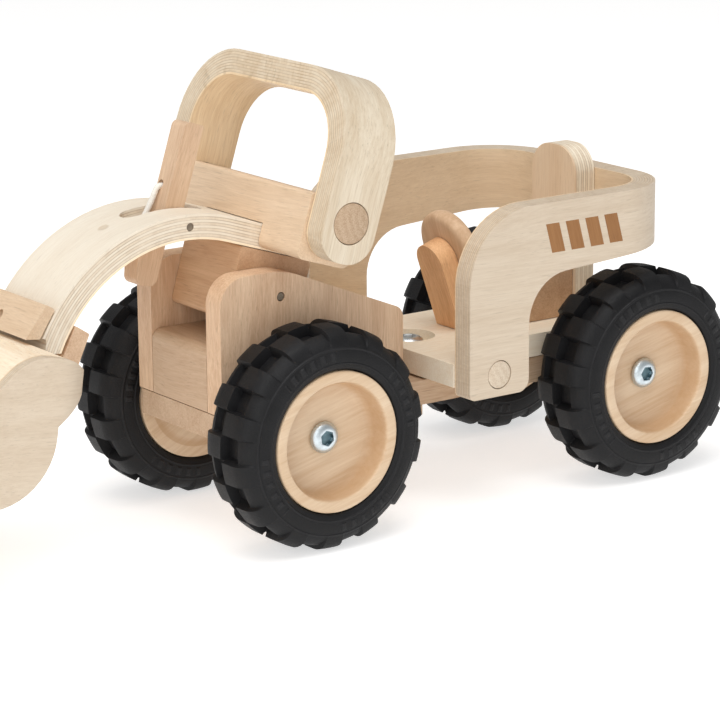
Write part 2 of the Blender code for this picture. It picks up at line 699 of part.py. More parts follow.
def make_boom_blocks(arm, cord_hole):
    """Blocks glued to the front and back of the boom's tip; the rear one is forked for the bucket's hinge."""
    front = prism(
        "boom_front_block",
        rounded([(94.4, 58.6), (100.2, 57.5), (95.2, 71.2, 0.8), (91.3, 70.2, 0.8)]),
        "Y", -ARM_HALF, ARM_HALF, wood("boom_front_block", "warm_wood"),
    )
    cut(front, cord_hole)
    rear = prism(
        "boom_rear_block",
        rounded([(81.2, 65.8, 0.8), (74.5, 63.9, 0.8), (77.0, 43.1, 3.6), (84.8, 43.1, 3.6)]),
        "Y", -ARM_HALF, ARM_HALF, wood("boom_rear_block", "warm_wood"),
    )
    fork_half = LUG_HALF + 0.4
    fork = prism("fork", [(60, 30), (95, 30), (95, 53), (60, 53)], "Y", -fork_half, fork_half)
    cut(rear, fork, drill(BUCKET_HINGE, 1.9, facets=16))
    attach(arm, front, rear)


def make_lever(lever):
    """The stick that tips the bucket, with the cord's hole through it."""
    stick = prism(
        "lever_stick",
        rounded([
            (38, 146.8, 1), (46.2, 146.8, 2.5), (46.2, 103, 6), (52.5, 94, 3), (50.2, 83.5, 3),
            (42, 84.5, 3), (42, 101, 2), (38, 105, 3),
        ]),
        "Y", -LEVER_HALF, LEVER_HALF, wood("lever_stick", "light_wood"),
    )
    hole_place = (0, CORD_Y, CORD_HOLE_Z)
    cord_hole = turned("lever_cord_hole", cylinder(CORD_BORE, 30, 60), 16, None, hole_place, (0, 90, 0))
    cut(stick, drill(LEVER_PIVOT, 1.9, facets=16), cord_hole)
    attach(lever, stick)


def cord(name, route):
    """A round cord along a smooth curve through the route's points."""
    points = []
    for index in range(len(route) - 1):
        before = Vector(route[max(index - 1, 0)])
        start = Vector(route[index])
        end = Vector(route[index + 1])
        after = Vector(route[min(index + 2, len(route) - 1)])
        steps = max(2, round((end - start).length / 3.0))
        for step in range(steps):
            t = step / steps
            leave = (end - before) / 2
            arrive = (after - start) / 2
            points.append(
                start * (2 * t**3 - 3 * t**2 + 1) + leave * (t**3 - 2 * t**2 + t)
                + end * (3 * t**2 - 2 * t**3) + arrive * (t**3 - t**2)
            )
    points.append(Vector(route[-1]))
    curve = bpy.data.curves.new(name, "CURVE")
    curve.dimensions = "3D"
    curve.bevel_depth = CORD_RADIUS * MM
    curve.bevel_resolution = 2
    curve.use_fill_caps = True
    curve.resolution_u = 1
    curve.render_resolution_u = 0
    spline = curve.splines.new("POLY")
    spline.points.add(len(points) - 1)
    for knot, point in zip(spline.points, points):
        knot.co = (*(point * MM), 1.0)
    return new_object(name, curve, cotton(name))


def make_cords(arm, lever):
    """One cotton cord in two pieces: its top swings with the lever, the rest stays under the boom."""
    upper = cord("lever_cord", [
        (41, CORD_Y, CORD_HOLE_Z), (45.4, CORD_Y, CORD_HOLE_Z), (47.4, CORD_Y, 120.9), (48.1, CORD_Y, 118),
        (49.0, CORD_Y, 113), (50.4, CORD_Y, 107.6), (52.2, CORD_Y, 103),
    ])
    lower = cord("boom_cord", [
        (55.4, CORD_Y, 98.6), (59, -2.6, 94.4), (64, -3.4, 89.2), (70, -4.6, 81.6), (74.8, -5.4, 74.6),
        (78.8, BOOM_CORD_Y, 69.7), (84.0, BOOM_CORD_Y, 67.74), (90.0, BOOM_CORD_Y, 65.43), (95.0, BOOM_CORD_Y, 63.51),
    ])
    attach(lever, upper)
    attach(arm, lower)


def make_bucket(bucket):
    """A ply strip bent round the back and sides, a curved ply back and floor inside it, and the hinge lug."""
    hinge_x, hinge_z = BUCKET_HINGE
    front = BUCKET_LIP_X + 20
    path = rounded([
        (front, BUCKET_HALF), (BUCKET_BACK_X, BUCKET_HALF, BUCKET_CORNER),
        (BUCKET_BACK_X, -BUCKET_HALF, BUCKET_CORNER), (front, -BUCKET_HALF),
    ], closed=False)
    frame = prism("bucket_frame", ribbon(path, BUCKET_PLY), "Z", -60, 40, wood("bucket_frame", "pale_ply"))
    side_outline = rounded([
        (0, 1.8), (12, 0.6, 3), (24.1, -9.4), (24.1, BUCKET_FLOOR, 26), (BUCKET_LIP_X, BUCKET_FLOOR, 1.5),
        (BUCKET_LIP_X - 1, BUCKET_FLOOR + 5, 3), (36.5, BUCKET_TOP + 1.2, 19), (20, 13.9, 12), (8, 7.0),
        (0, 7.0),
    ])
    shape = prism("bucket_outline", side_outline, "Y", -80, 80)
    cut(frame, shape, operation="INTERSECT")
    inner_back = BUCKET_BACK_X + BUCKET_PLY + GAP
    curve = rounded([
        (inner_back, 11.6), (inner_back, 4, 12), (26.2, -7.5, 12), (26.2, BUCKET_FLOOR + 0.6, 24),
        (BUCKET_LIP_X, BUCKET_FLOOR + 0.6),
    ], closed=False)
    half = BUCKET_HALF - BUCKET_PLY - GAP
    sheet = prism("bucket_sheet", ribbon(curve, BUCKET_PLY), "Y", -half, half, wood("bucket_sheet", "light_wood"))
    corner = BUCKET_CORNER - BUCKET_PLY - GAP
    plan = prism(
        "bucket_inside",
        rounded([
            (front, half), (inner_back, half, corner), (inner_back, -half, corner), (front, -half),
        ]),
        "Z", -60, 40,
    )
    cut(sheet, plan, operation="INTERSECT")
    lug = prism(
        "bucket_lug",
        rounded([(BUCKET_BACK_X - GAP, -5.5), (BUCKET_BACK_X - GAP, 6.0), (-4.2, 4.2, 4.1), (-4.2, -4.2, 4.1)]),
        "Y", -LUG_HALF, LUG_HALF, wood("bucket_lug", "warm_wood"),
    )
    cut(lug, turned("lug_bore", cylinder(1.9, -20, 20), 16, None, (0, 0, 0), across()))
    for item in (frame, shape, sheet, plan, lug, *[m.object for m in lug.modifiers if m.type == "BOOLEAN"]):
        item.location += Vector((hinge_x, 0, hinge_z)) * MM
        attach(bucket, item)


def main():
    for item in list(bpy.data.objects):
        bpy.data.objects.remove(item, do_unlink=True)
    toy = joint("toy", (0, 0, 0))
    rear = joint("rear_chassis", (0, 0, 0), toy)
    front = joint("frame_swivel", (SWIVEL_X, 0, PLATE_TOP), toy)
    arm = joint("arm_joint", (ARM_PIVOT[0], 0, ARM_PIVOT[1]), front)
    lever = joint("lever_joint", (LEVER_PIVOT[0], 0, LEVER_PIVOT[1]), arm)
    bucket = joint("bucket_joint", (BUCKET_HINGE[0], 0, BUCKET_HINGE[1]), arm)
    make_front_chassis(front)
    make_rear_chassis(rear)
    make_cab(rear)
    make_wheels({"front": front, "rear": rear})
    make_arm(arm)
    make_lever(lever)
    make_cords(arm, lever)
    make_bucket(bucket)
    for tool in bpy.data.objects:
        if tool.type == "MESH" and tool.hide_render and tool.parent is None:
            owners = [o for o in bpy.data.objects if any(getattr(m, "object", None) == tool for m in o.modifiers)]
            attach(owners[0].parent, tool)
    bucket.rotation_euler.y = math.radians(BUCKET_TIPPED)
    arm.rotation_euler.y = -math.radians(ARM_RAISED)
    toy.location.x = FRONT_AXLE_X * MM


main()
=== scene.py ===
"""Visual model of a wooden toy wheel loader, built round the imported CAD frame."""

import math
from collections import namedtuple

import bmesh
import bpy
from mathutils import Matrix, Vector


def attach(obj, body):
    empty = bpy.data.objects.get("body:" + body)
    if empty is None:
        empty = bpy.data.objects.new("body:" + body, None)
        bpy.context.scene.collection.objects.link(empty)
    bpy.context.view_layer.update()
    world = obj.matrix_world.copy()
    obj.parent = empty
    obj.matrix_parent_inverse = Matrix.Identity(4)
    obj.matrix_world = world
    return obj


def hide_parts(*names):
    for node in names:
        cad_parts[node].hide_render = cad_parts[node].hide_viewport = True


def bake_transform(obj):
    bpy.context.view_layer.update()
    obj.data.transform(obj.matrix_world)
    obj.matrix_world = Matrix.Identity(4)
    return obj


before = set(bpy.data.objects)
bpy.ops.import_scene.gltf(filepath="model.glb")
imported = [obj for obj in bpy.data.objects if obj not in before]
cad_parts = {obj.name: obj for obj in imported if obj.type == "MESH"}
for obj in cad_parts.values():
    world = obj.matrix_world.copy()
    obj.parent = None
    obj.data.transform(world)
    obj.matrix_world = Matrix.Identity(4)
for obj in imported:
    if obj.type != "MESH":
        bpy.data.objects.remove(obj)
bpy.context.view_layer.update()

# The frame the CAD was drawn in: millimetres, x = 0 at the front axle, arm lowered, bucket level
FRONT_AXLE_X = 8.03
WHEELBASE = 156.0
AXLE_Z = 42.5
WHEEL_MIDDLE = 47.0
ARM_PIVOT = (2.65, 92.1)
ARM_RAISED = 18.0
BUCKET_HINGE = (80.9, 47.0)
BUCKET_NOSE_UP = 8.0
CONSOLE_LEAN = 19.0

TO_WORLD = Matrix.Diagonal((0.001, 0.001, 0.001, 1)) @ Matrix.Translation((FRONT_AXLE_X, 0, 0))


def about(pivot, degrees):
    """Turns about the Y axis through (x, z)."""
    there = Matrix.Translation((pivot[0], 0, pivot[1]))
    return there @ Matrix.Rotation(math.radians(degrees), 4, "Y") @ there.inverted()


ARM_FRAME = TO_WORLD @ about(ARM_PIVOT, -ARM_RAISED)
BUCKET_FRAME = ARM_FRAME @ about(BUCKET_HINGE, ARM_RAISED - BUCKET_NOSE_UP)
FRAMES = {"toy": TO_WORLD, "arm": ARM_FRAME, "bucket": BUCKET_FRAME}


# ---------------------------------------------------------------- materials

class Shader:
    """A node material and short calls that add nodes to it."""

    def __init__(self, name, roughness=0.5, metallic=0.0):
        self.material = bpy.data.materials.new(name)
        self.material.use_nodes = True
        self.tree = self.material.node_tree
        self.out = self.tree.nodes["Principled BSDF"]
        self.out.inputs["Roughness"].default_value = roughness
        self.out.inputs["Metallic"].default_value = metallic

    def put(self, socket, value):
        if isinstance(value, bpy.types.NodeSocket):
            self.tree.links.new(value, socket)
        elif value is not None:
            socket.default_value = value

    def math(self, operation, *values, clamp=False):
        node = self.tree.nodes.new("ShaderNodeMath")
        node.operation = operation
        node.use_clamp = clamp
        for socket, value in zip(node.inputs, values):
            self.put(socket, value)
        return node.outputs[0]

    def vector(self, operation, *values):
        node = self.tree.nodes.new("ShaderNodeVectorMath")
        node.operation = operation
        for socket, value in zip(node.inputs, values):
            self.put(socket, value)
        return node.outputs["Value"] if operation in {"LENGTH", "DOT_PRODUCT"} else node.outputs["Vector"]

    def join(self, x, y, z=0.0):
        node = self.tree.nodes.new("ShaderNodeCombineXYZ")
        for socket, value in zip(node.inputs, (x, y, z)):
            self.put(socket, value)
        return node.outputs[0]

    def split(self, vector):
        node = self.tree.nodes.new("ShaderNodeSeparateXYZ")
        self.put(node.inputs[0], vector)
        return node.outputs

    def noise(self, vector, scale, detail=3.0, roughness=0.55, distortion=0.0):
        node = self.tree.nodes.new("ShaderNodeTexNoise")
        self.put(node.inputs["Vector"], vector)
        node.inputs["Scale"].default_value = scale
        node.inputs["Detail"].default_value = detail
        node.inputs["Roughness"].default_value = roughness
        node.inputs["Distortion"].default_value = distortion
        return node.outputs["Fac"]

    def remap(self, value, low, high, to_low=0.0, to_high=1.0, smooth=False):
        node = self.tree.nodes.new("ShaderNodeMapRange")
        node.interpolation_type = "SMOOTHSTEP" if smooth else "LINEAR"
        for socket, number in zip(node.inputs, (value, low, high, to_low, to_high)):
            self.put(socket, number)
        return node.outputs[0]

    def mix(self, factor, first, second, blend="MIX"):
        node = self.tree.nodes.new("ShaderNodeMix")
        node.data_type = "RGBA"
        node.blend_type = blend
        self.put(node.inputs[0], factor)
        for socket, value in ((node.inputs[6], first), (node.inputs[7], second)):
            self.put(socket, (*value, 1.0) if isinstance(value, tuple) else value)
        return node.outputs[2]

    def place(self, frame_name):
        """Position in millimetres in one of the frames the CAD was drawn in."""
        spot = self.tree.nodes.new("ShaderNodeTexCoord").outputs["Object"]
        inverse = FRAMES[frame_name].inverted()
        spin = inverse.to_euler()
        node = self.tree.nodes.new("ShaderNodeMapping")
        self.put(node.inputs["Vector"], spot)
        node.inputs["Location"].default_value = inverse.translation
        node.inputs["Rotation"].default_value = spin
        node.inputs["Scale"].default_value = (1000, 1000, 1000)
        return node.outputs[0]

    def local(self, stretch=(1.0, 1.0, 1.0), shift=0.0):
        """Position on the piece itself, in millimetres, drawn out and moved."""
        spot = self.tree.nodes.new("ShaderNodeTexCoord").outputs["Object"]
        spot = self.vector("MULTIPLY", spot, tuple(1000 * share for share in stretch))
        return self.vector("ADD", spot, shift if isinstance(shift, tuple) else (shift, shift, shift))

    def bump(self, height, strength, distance):
        node = self.tree.nodes.new("ShaderNodeBump")
        node.inputs["Strength"].default_value = strength
        node.inputs["Distance"].default_value = distance
        self.put(node.inputs["Height"], height)
        self.put(self.out.inputs["Normal"], node.outputs[0])


def srgb(red, green, blue):
    """A display colour, 0 to 255, as linear light."""
    def linear(level):
        level /= 255
        return level / 12.92 if level <= 0.04045 else ((level + 0.055) / 1.055) ** 2.4
    return tuple(linear(level) for level in (red, green, blue))


# Each wood's light tone and the tone of its grain
PALE = (srgb(224, 210, 190), srgb(196, 175, 150))
BAR_WOOD = (srgb(230, 218, 197), srgb(200, 178, 148))
BLEACHED = (srgb(246, 238, 222), srgb(226, 210, 188))
# Lightened past the wood's own tone as painted light for the deck and seat back, which sit in shade.
CREAM = (srgb(252, 244, 226), srgb(234, 214, 186))
# Lightened past the wood's own tone as painted light on the bucket's shaded inside.
BUCKET_INSIDE = (srgb(255, 246, 226), srgb(242, 216, 184))
CROSS = (srgb(238, 213, 184), srgb(206, 176, 143))
MUTED = (srgb(206, 180, 152), srgb(174, 142, 113))
LIGHT = (srgb(230, 201, 170), srgb(190, 152, 120))
WARM = (srgb(212, 176, 141), srgb(174, 134, 100))
# Lightened past the wood's own tone as painted light on the console, which sits in the shade inside the toy.
DEEP = (srgb(246, 200, 150), srgb(206, 150, 104))
HUB = (srgb(228, 205, 176), srgb(203, 170, 134))
# Painted light: this multiplier lightens the inner faces of bent strips, which sit in shade.
INNER_FACE_LIGHT = (1.2, 1.1, 0.95)     # multiplies a bent strip's own tone on its inner face

ALONG = 0.055                 # how far the grain is drawn out along the wood
GRAIN = {
    "x": (ALONG, 1.0, 1.0), "y": (1.0, ALONG, 1.0), "z": (1.0, 1.0, ALONG),
    "xy": (ALONG, ALONG, 1.0), "yz": (1.0, ALONG, ALONG), "xz": (ALONG, 1.0, ALONG),
}


# A strip of plies. A "plan" strip bends round +Z and an "arch" round +X, both as a U, whose outer faces are
# at across and along. A "curve" bends round a centre there. A "flat" one has its front face at along.
Strip = namedtuple("Strip", "kind across along radius thickness count")


def plies(shader, spot, strip):
    """Where a point lies in a strip, as (odd ply, glue line, inner face), each from 0 to 1. A flat strip's
    inner face is its front face.
    """
    kind, across_at, along_at, radius, thickness, count = strip
    x, y, z = shader.split(spot)[:3]
    if kind == "flat":
        depth = shader.math("SUBTRACT", along_at, x)
    else:
        if kind == "curve":
            across = shader.math("SUBTRACT", x, across_at)
            along = shader.math("SUBTRACT", z, along_at)
        else:
            across = shader.math("SUBTRACT", shader.math("ABSOLUTE", y), across_at - radius)
            if kind == "plan":
                along = shader.math("SUBTRACT", along_at + radius, x)
            else:
                along = shader.math("SUBTRACT", z, along_at - radius)
        across = shader.math("MAXIMUM", across, 0.0)
        along = shader.math("MAXIMUM", along, 0.0)
        depth = shader.math("SUBTRACT", radius, shader.vector("LENGTH", shader.join(across, along)))
    layer = shader.math("MULTIPLY", depth, count / thickness)
    layer = shader.math("MINIMUM", shader.math("MAXIMUM", layer, 0.5), count - 0.5)
    parity = shader.math("MODULO", shader.math("FLOOR", layer), 2.0)
    within = shader.math("FRACT", layer)
    edge = shader.math("MINIMUM", within, shader.math("SUBTRACT", 1.0, within))
    if kind == "flat":
        inside = shader.remap(layer, 0.75, 0.95, 1.0, 0.0)
    else:
        inside = shader.remap(layer, count - 0.9, count - 0.55)
    return parity, shader.remap(edge, 0.04, 0.2, 1.0, 0.0), inside


def wood(name, tones, grain, frame_name="toy", strip=None, seed=0.0, contrast=1.0, lean=0.0,
         veneer=INNER_FACE_LIGHT, dimple=None):
    """Sanded wood: broad growth bands, fine grain, short pores and, on bent strips, plies at the edges."""
    shader = Shader(name)
    spot = shader.place(frame_name)
    grown = spot
    if lean:
        turn = shader.tree.nodes.new("ShaderNodeVectorRotate")
        turn.rotation_type = "Y_AXIS"
        shader.put(turn.inputs["Vector"], spot)
        turn.inputs["Angle"].default_value = math.radians(lean)
        grown = turn.outputs[0]
    grown = shader.vector("ADD", grown, (seed * 37.0, seed * 19.0, seed * 53.0))
    waver = shader.noise(shader.vector("MULTIPLY", grown, (0.011, 0.011, 0.011)), 1.0, 1.0)
    sway = shader.math("MULTIPLY", shader.math("SUBTRACT", waver, 0.5), 14.0)
    drawn = shader.vector("MULTIPLY", grown, GRAIN[grain])
    drawn = shader.vector("ADD", drawn, shader.join(sway, sway, sway))
    broad = shader.noise(drawn, 0.13, 2.0, 0.5)
    fine = shader.noise(drawn, 1.25, 5.0, 0.7)
    pores = shader.remap(shader.noise(drawn, 2.6, 2.0), 0.6, 0.72)
    tone = shader.math("MULTIPLY", shader.remap(broad, 0.34, 0.66), 0.4 * contrast)
    tone = shader.math("ADD", tone, shader.math("MULTIPLY", shader.remap(fine, 0.36, 0.64), 0.5 * contrast))
    tone = shader.math("ADD", tone, 0.5 - 0.45 * contrast, clamp=True)
    colour = shader.mix(tone, tones[0], tones[1])
    dark = tuple(level * 0.55 for level in tones[1])
    colour = shader.mix(shader.math("MULTIPLY", pores, 0.42 * contrast), colour, dark)
    relief = shader.math("SUBTRACT", fine, shader.math("MULTIPLY", pores, 0.5))
    if strip:
        parity, glue, inside = plies(shader, spot, strip)
        streak = shader.noise(shader.vector("MULTIPLY", spot, (0.35, 0.35, 0.35)), 1.0, 4.0, 0.7)
        cut_ply = shader.mix(shader.remap(streak, 0.35, 0.65), srgb(232, 214, 186), srgb(196, 170, 138))
        # The inner-face mask takes the veneer multiplier: painted light on the shaded inner faces of bent
        # strips, painted shade on the seat back's front face.
        colour = shader.mix(shader.math("MULTIPLY", inside, 0.9), colour,
                            shader.mix(1.0, colour, veneer, "MULTIPLY"))
        colour = shader.mix(shader.math("MULTIPLY", parity, 0.42), colour, cut_ply)
        patchy = shader.noise(shader.vector("MULTIPLY", spot, (0.09, 0.09, 0.09)), 1.0, 2.0)
        patchy = shader.remap(patchy, 0.3, 0.7, 0.2, 0.7)
        colour = shader.mix(shader.math("MULTIPLY", glue, patchy), colour, srgb(158, 126, 92))
        relief = shader.math("SUBTRACT", relief, shader.math("MULTIPLY", parity, 0.3))
    if dimple:
        place, radius = dimple
        away = shader.vector("LENGTH", shader.vector("SUBTRACT", spot, place))
        sunk = shader.remap(away, radius * 0.6, radius, 1.0, 0.0, smooth=True)
        relief = shader.math("SUBTRACT", relief, shader.math("MULTIPLY", sunk, 8.0))
        # Painted shade: the dimple's colour darkens towards its middle, as shade in the dip.
        colour = shader.mix(shader.math("MULTIPLY", sunk, 0.35), colour, srgb(178, 146, 104))
    shader.put(shader.out.inputs["Base Color"], colour)
    shader.put(shader.out.inputs["Roughness"], shader.remap(fine, 0.3, 0.7, 0.44, 0.6))
    shader.out.inputs["Specular IOR Level"].default_value = 0.32
    shader.bump(relief, 0.22, 0.00025)
    return shader.material


def end_grain(name, tones, seed=0.0):
    """The end of a dowel: growth rings cut across, with open pores."""
    shader = Shader(name, 0.58)
    spot = shader.local((1, 1, 0.06), (seed * 7 + 9.0, seed * 5 + 4.0, 0.0))
    waver = shader.noise(spot, 0.12, 2.0)
    turns = shader.math("MULTIPLY", shader.vector("LENGTH", spot), 2.2)
    rings = shader.math("SINE", shader.math("ADD", turns, shader.math("MULTIPLY", waver, 9.0)))
    dots = shader.noise(spot, 2.2, 3.0, 0.7)
    tone = shader.math("ADD", shader.math("MULTIPLY", rings, 0.12), shader.remap(dots, 0.3, 0.7), clamp=True)
    shader.put(shader.out.inputs["Base Color"], shader.mix(tone, tones[0], tones[1]))
    shader.put(shader.out.inputs["Roughness"], shader.remap(dots, 0.3, 0.7, 0.5, 0.68))
    shader.out.inputs["Specular IOR Level"].default_value = 0.3
    shader.bump(dots, 0.25, 0.0002)
    return shader.material


def hub_wood(name, seed):
    """Turned wood whose grain runs straight across the hub's face."""
    shader = Shader(name, 0.45)
    spot = shader.local()
    turn = shader.tree.nodes.new("ShaderNodeVectorRotate")
    turn.rotation_type = "Z_AXIS"
    shader.put(turn.inputs["Vector"], spot)
    turn.inputs["Angle"].default_value = math.radians(-14 + 40 * (seed % 2))
    drawn = shader.vector("MULTIPLY", turn.outputs[0], (0.05, 1.0, 0.65))
    drawn = shader.vector("ADD", drawn, (seed * 31, seed * 17, seed * 3))
    waver = shader.math("MULTIPLY", shader.noise(drawn, 0.05, 1.0), 9.0)
    drawn = shader.vector("ADD", drawn, shader.join(waver, waver, waver))
    broad = shader.noise(drawn, 0.16, 2.0)
    fine = shader.noise(drawn, 0.9, 5.0, 0.65)
    strands = shader.noise(drawn, 2.6, 2.0)
    bands = shader.remap(broad, 0.3, 0.7, 0.0, 0.55)
    tone = shader.math("ADD", bands, shader.remap(fine, 0.35, 0.65, 0.0, 0.4))
    colour = shader.mix(tone, HUB[0], HUB[1])
    x, y = shader.split(spot)[:2]
    radius = shader.vector("LENGTH", shader.join(x, y))
    # Painted shade: the inner wall of the hub's cup is darkened where shade falls in the recess.
    cup_wall_shade = shader.remap(radius, 22.3, 22.7, 1.0, 0.0)
    cup_wall_shade = shader.math("MULTIPLY", shader.remap(radius, 19.0, 21.0), cup_wall_shade)
    colour = shader.mix(shader.math("MULTIPLY", cup_wall_shade, 0.55), colour, srgb(190, 150, 108))
    pores = shader.remap(strands, 0.66, 0.78, 0.0, 0.4)
    colour = shader.mix(pores, colour, srgb(176, 134, 92))
    shader.put(shader.out.inputs["Base Color"], colour)
    shader.put(shader.out.inputs["Roughness"], shader.remap(fine, 0.3, 0.7, 0.38, 0.55))
    shader.out.inputs["Specular IOR Level"].default_value = 0.35
    shader.bump(fine, 0.18, 0.0002)
    return shader.material


def face_wood(name, tones):
    """Wood with its grain straight across a disc's face."""
    shader = Shader(name, 0.5)
    drawn = shader.local((ALONG, 1, 0.7))
    broad = shader.noise(drawn, 0.2, 2.0)
    fine = shader.noise(drawn, 1.1, 5.0, 0.65)
    bands = shader.remap(broad, 0.3, 0.7, 0.0, 0.5)
    tone = shader.math("ADD", bands, shader.remap(fine, 0.35, 0.65, 0.0, 0.45))
    shader.put(shader.out.inputs["Base Color"], shader.mix(tone, tones[0], tones[1]))
    shader.put(shader.out.inputs["Roughness"], shader.remap(fine, 0.3, 0.7, 0.42, 0.6))
    shader.out.inputs["Specular IOR Level"].default_value = 0.32
    shader.bump(fine, 0.2, 0.0002)
    return shader.material


def moulded_marks(shader, radius, angle):
    """Plain raised bars in four groups and two thin ribs round a tyre's side wall."""
    step = shader.math("FRACT", shader.math("MULTIPLY", angle, 44 / (2 * math.pi)))
    bar = shader.math("MULTIPLY", shader.remap(step, 0.08, 0.26), shader.remap(step, 0.5, 0.68, 1.0, 0.0))
    group = shader.remap(shader.math("SINE", shader.math("MULTIPLY", angle, 4.0)), 0.1, 0.14)
    band = shader.remap(radius, 33.9, 34.5, 1.0, 0.0)
    band = shader.math("MULTIPLY", shader.remap(radius, 31.0, 31.6), band)
    marks = shader.math("MULTIPLY", shader.math("MULTIPLY", bar, group), band)
    for rib_radius in (29.9, 35.6):
        away = shader.math("ABSOLUTE", shader.math("SUBTRACT", radius, rib_radius))
        marks = shader.math("ADD", marks, shader.remap(away, 0.15, 0.6, 0.8, 0.0))
    return marks


def rubber(name, seed):
    """Moulded rubber: matt black, slightly dusty, with a fine mould texture."""
    shader = Shader(name, 0.7)
    x, y = shader.split(shader.local())[:2]
    marks = moulded_marks(shader, shader.vector("LENGTH", shader.join(x, y)), shader.math("ARCTAN2", y, x))
    spot = shader.local(shift=seed)
    dust = shader.noise(spot, 0.07, 5.0, 0.6)
    skin = shader.noise(spot, 1.7, 4.0, 0.6)
    colour = shader.mix(shader.remap(dust, 0.36, 0.68), srgb(10, 10, 12), srgb(23, 23, 25))
    # Painted highlight: the moulded bars and ribs are lightened as if light caught their edges; their relief
    # is the bump below.
    colour = shader.mix(shader.math("MULTIPLY", marks, 0.25), colour, srgb(52, 52, 54))
    shader.put(shader.out.inputs["Base Color"], colour)
    rough = shader.remap(dust, 0.3, 0.7, 0.46, 0.64)
    rough = shader.math("ADD", rough, shader.remap(skin, 0.3, 0.7, -0.05, 0.07))
    shader.put(shader.out.inputs["Roughness"], rough)
    shader.out.inputs["Specular IOR Level"].default_value = 0.28
    shader.bump(shader.math("ADD", skin, shader.math("MULTIPLY", marks, 5.0)), 0.5, 0.0003)
    return shader.material


def steel(name, colour, roughness, seed=0.0):
    """Zinc-plated steel with faint turning marks and a little haze."""
    shader = Shader(name, roughness, 1.0)
    spot = shader.local(shift=seed)
    haze = shader.noise(spot, 0.55, 4.0, 0.6)
    marks = shader.noise(spot, 5.0, 2.0, 0.5)
    dull = tuple(level * 0.8 for level in colour)
    shader.put(shader.out.inputs["Base Color"], shader.mix(shader.remap(haze, 0.3, 0.7), colour, dull))
    rough = shader.remap(haze, 0.3, 0.7, roughness - 0.06, roughness + 0.12)
    shader.put(shader.out.inputs["Roughness"], rough)
    shader.bump(marks, 0.1, 0.0001)
    return shader.material


def cotton(name):
    """Bleached cotton yarn with soft fibres."""
    shader = Shader(name, 0.9)
    fibres = shader.noise(shader.local(), 4.0, 4.0, 0.7)
    colour = shader.mix(shader.remap(fibres, 0.3, 0.7), srgb(250, 247, 240), srgb(222, 214, 200))
    shader.put(shader.out.inputs["Base Color"], colour)
    shader.out.inputs["Sheen Weight"].default_value = 0.35
    shader.out.inputs["Sheen Roughness"].default_value = 0.5
    shader.bump(fibres, 0.5, 0.0002)
    return shader.material


# ---------------------------------------------------------------- shapes

def piece(name, verts, faces, material, body, replaced=(), smooth=40.0):
    """A new mesh piece, in metres in the row frame, riding on a body."""
    mesh = bpy.data.meshes.new(name)
    mesh.from_pydata([tuple(v) for v in verts], [], faces)
    made = bmesh.new()
    made.from_mesh(mesh)
    bmesh.ops.recalc_face_normals(made, faces=made.faces)
    made.to_mesh(mesh)
    made.free()
    mesh.materials.append(material)
    mesh.shade_smooth()
    mesh.set_sharp_from_angle(angle=math.radians(smooth))
    item = bpy.data.objects.new(name, mesh)
    bpy.context.collection.objects.link(item)
    if body:
        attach(item, body)
    if replaced:
        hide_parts(*replaced)
    return item


def loft(rings, closed=False):
    """Faces that join closed rings of equal length. The ends are filled unless the rings close up."""
    count = len(rings[0])
    verts = [point for ring in rings for point in ring]
    faces = []
    last = len(rings) if closed else len(rings) - 1
    for row in range(last):
        below = row * count
        above = ((row + 1) % len(rings)) * count
        for step in range(count):
            after = (step + 1) % count
            faces.append((below + step, below + after, above + after, above + step))
    if not closed:
        faces.append(tuple(range(count))[::-1])
        faces.append(tuple(range((len(rings) - 1) * count, len(rings) * count)))
    return verts, faces


def lathe(profile, segments, closed=True):
    """Turns a (radius, height) profile about Z, in metres from millimetres."""
    rings = []
    for radius, height in profile:
        ring = []
        for step in range(segments):
            angle = 2 * math.pi * step / segments
            wide = radius(angle) if callable(radius) else radius
            ring.append(Vector((wide * math.cos(angle), wide * math.sin(angle), height)) * 0.001)
        rings.append(ring)
    return loft(rings, closed)


def outwards(side):
    """Lays a turned piece's Z axis along Y, outwards on one side (1 left, -1 right)."""
    return Matrix.Rotation(math.radians(-90 * side), 4, "X")


def turned(name, profile, segments, material, body, matrix, replaced, closed=True, smooth=35.0, recess_shade=None):
    """A turned piece. Its object keeps the axis as its own Z, so its texture turns with it."""
    verts, faces = lathe(profile, segments, closed)
    item = piece(name, verts, faces, material, None, smooth=smooth)
    # Faces inside the recess take the second material, a darker steel that is painted shade.
    if recess_shade:
        reach, finish = recess_shade
        item.data.materials.append(finish)
        for face in item.data.polygons:
            if face.center.xy.length < reach and face.center.z > 0.0005:
                face.material_index = 1
    item.matrix_world = matrix
    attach(item, body)
    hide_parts(*replaced)
    return item


def at_axis(frame_name, x, z, side=1):
    """Where a piece turned about an axis along Y sits, as a matrix with no scale."""
    spot = FRAMES[frame_name] @ Vector((x, 0, z))
    turn = FRAMES[frame_name].to_euler().to_matrix().to_4x4()
    return Matrix.Translation(spot) @ turn @ outwards(side)


# ---------------------------------------------------------------- CAD pieces that stay

def dress(node, material, edge, segments=3):
    """Gives a CAD node its finish and eases its edges."""
    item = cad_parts[node]
    item.data.materials.clear()
    item.data.materials.append(material)
    imported_normals = item.data.attributes.get("custom_normal")
    if imported_normals:
        item.data.attributes.remove(imported_normals)
    weld = item.modifiers.new("weld", "WELD")
    weld.merge_threshold = 0.00002
    ease = item.modifiers.new("ease", "BEVEL")
    ease.width = edge * 0.001
    ease.segments = segments
    ease.limit_method = "ANGLE"
    ease.angle_limit = math.radians(32)
    ease.use_clamp_overlap = True
    ease.miter_outer = "MITER_ARC"
    item.data.shade_smooth()
    soften = item.modifiers.new("soften", "WEIGHTED_NORMAL")
    soften.keep_sharp = False
    soften.weight = 60
    return item


